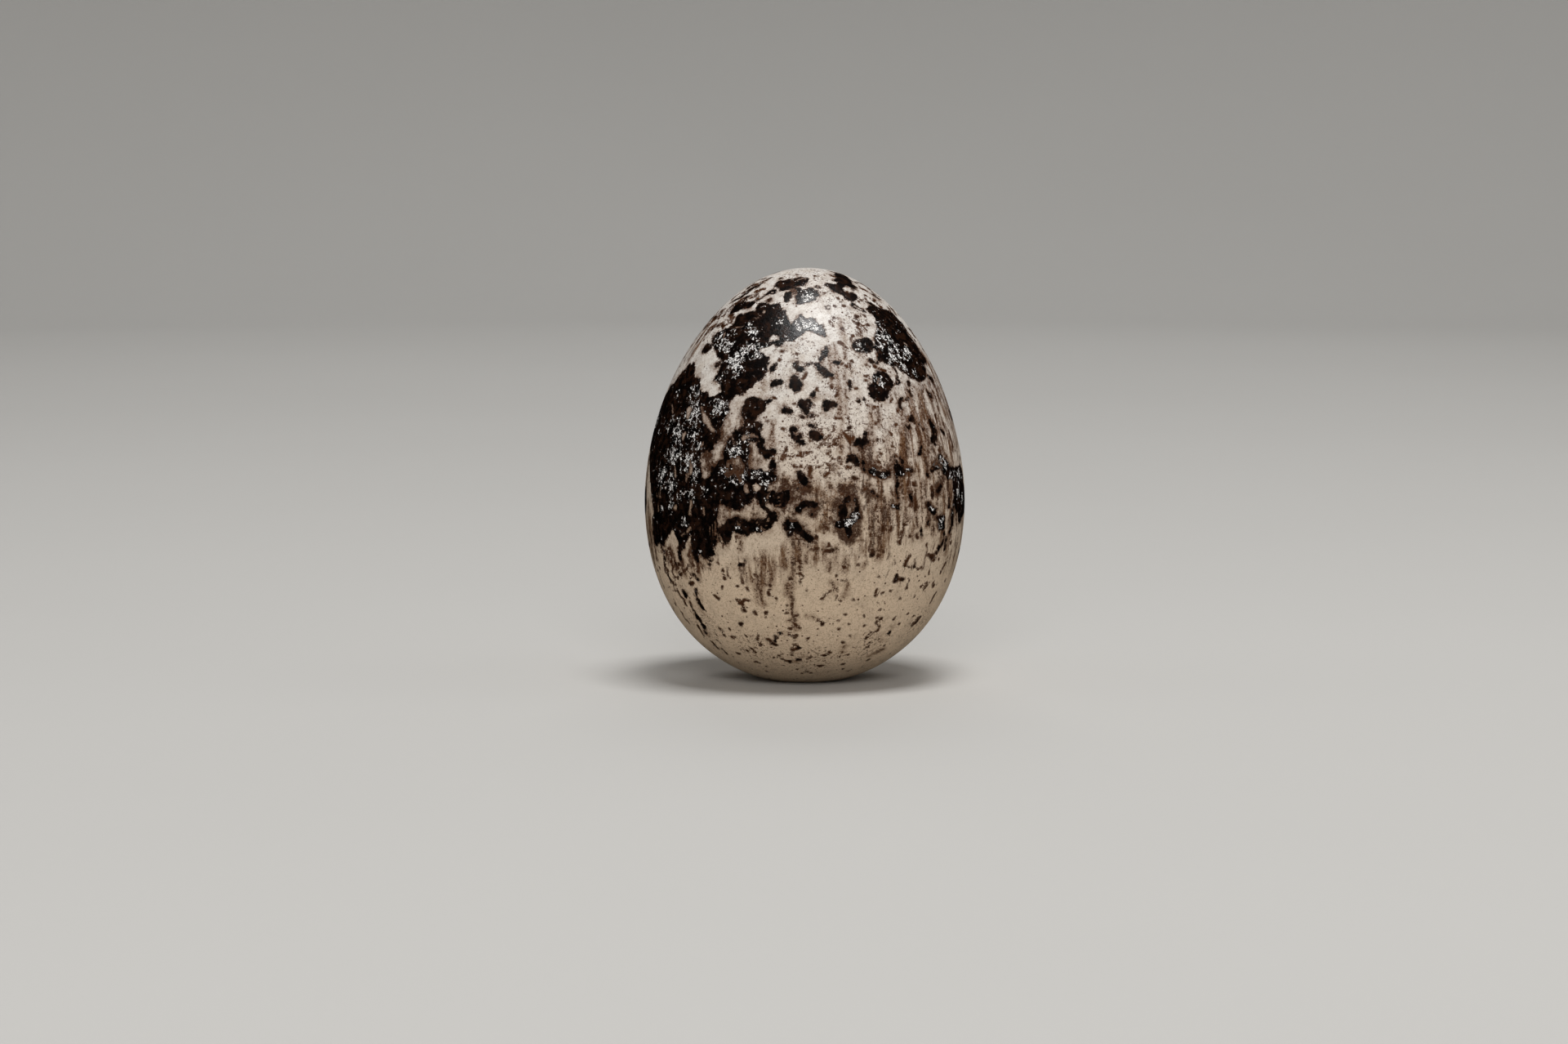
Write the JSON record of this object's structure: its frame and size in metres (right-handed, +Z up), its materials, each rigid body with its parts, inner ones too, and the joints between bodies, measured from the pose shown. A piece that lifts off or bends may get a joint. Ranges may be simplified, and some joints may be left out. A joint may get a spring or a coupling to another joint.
{
  "type": "quail egg",
  "caption": "Whole speckled quail egg standing on a small flat spot at its blunt end, with its pointed end up.",
  "frame": {"origin": "middle of the small flat spot that the egg stands on, at the blunt end", "axes": "+Z up along the egg's own axis, from the blunt end to the pointed end; -Y is the side that faces the camera in the picture"},
  "size_m": [0.026, 0.026, 0.0333],
  "materials": {
    "eggshell": "satin cream shell with near-black brown pigment patches, drips and specks"
  },
  "bodies": {
    "root": {"quail_egg": "eggshell"}
  },
  "joints": []
}
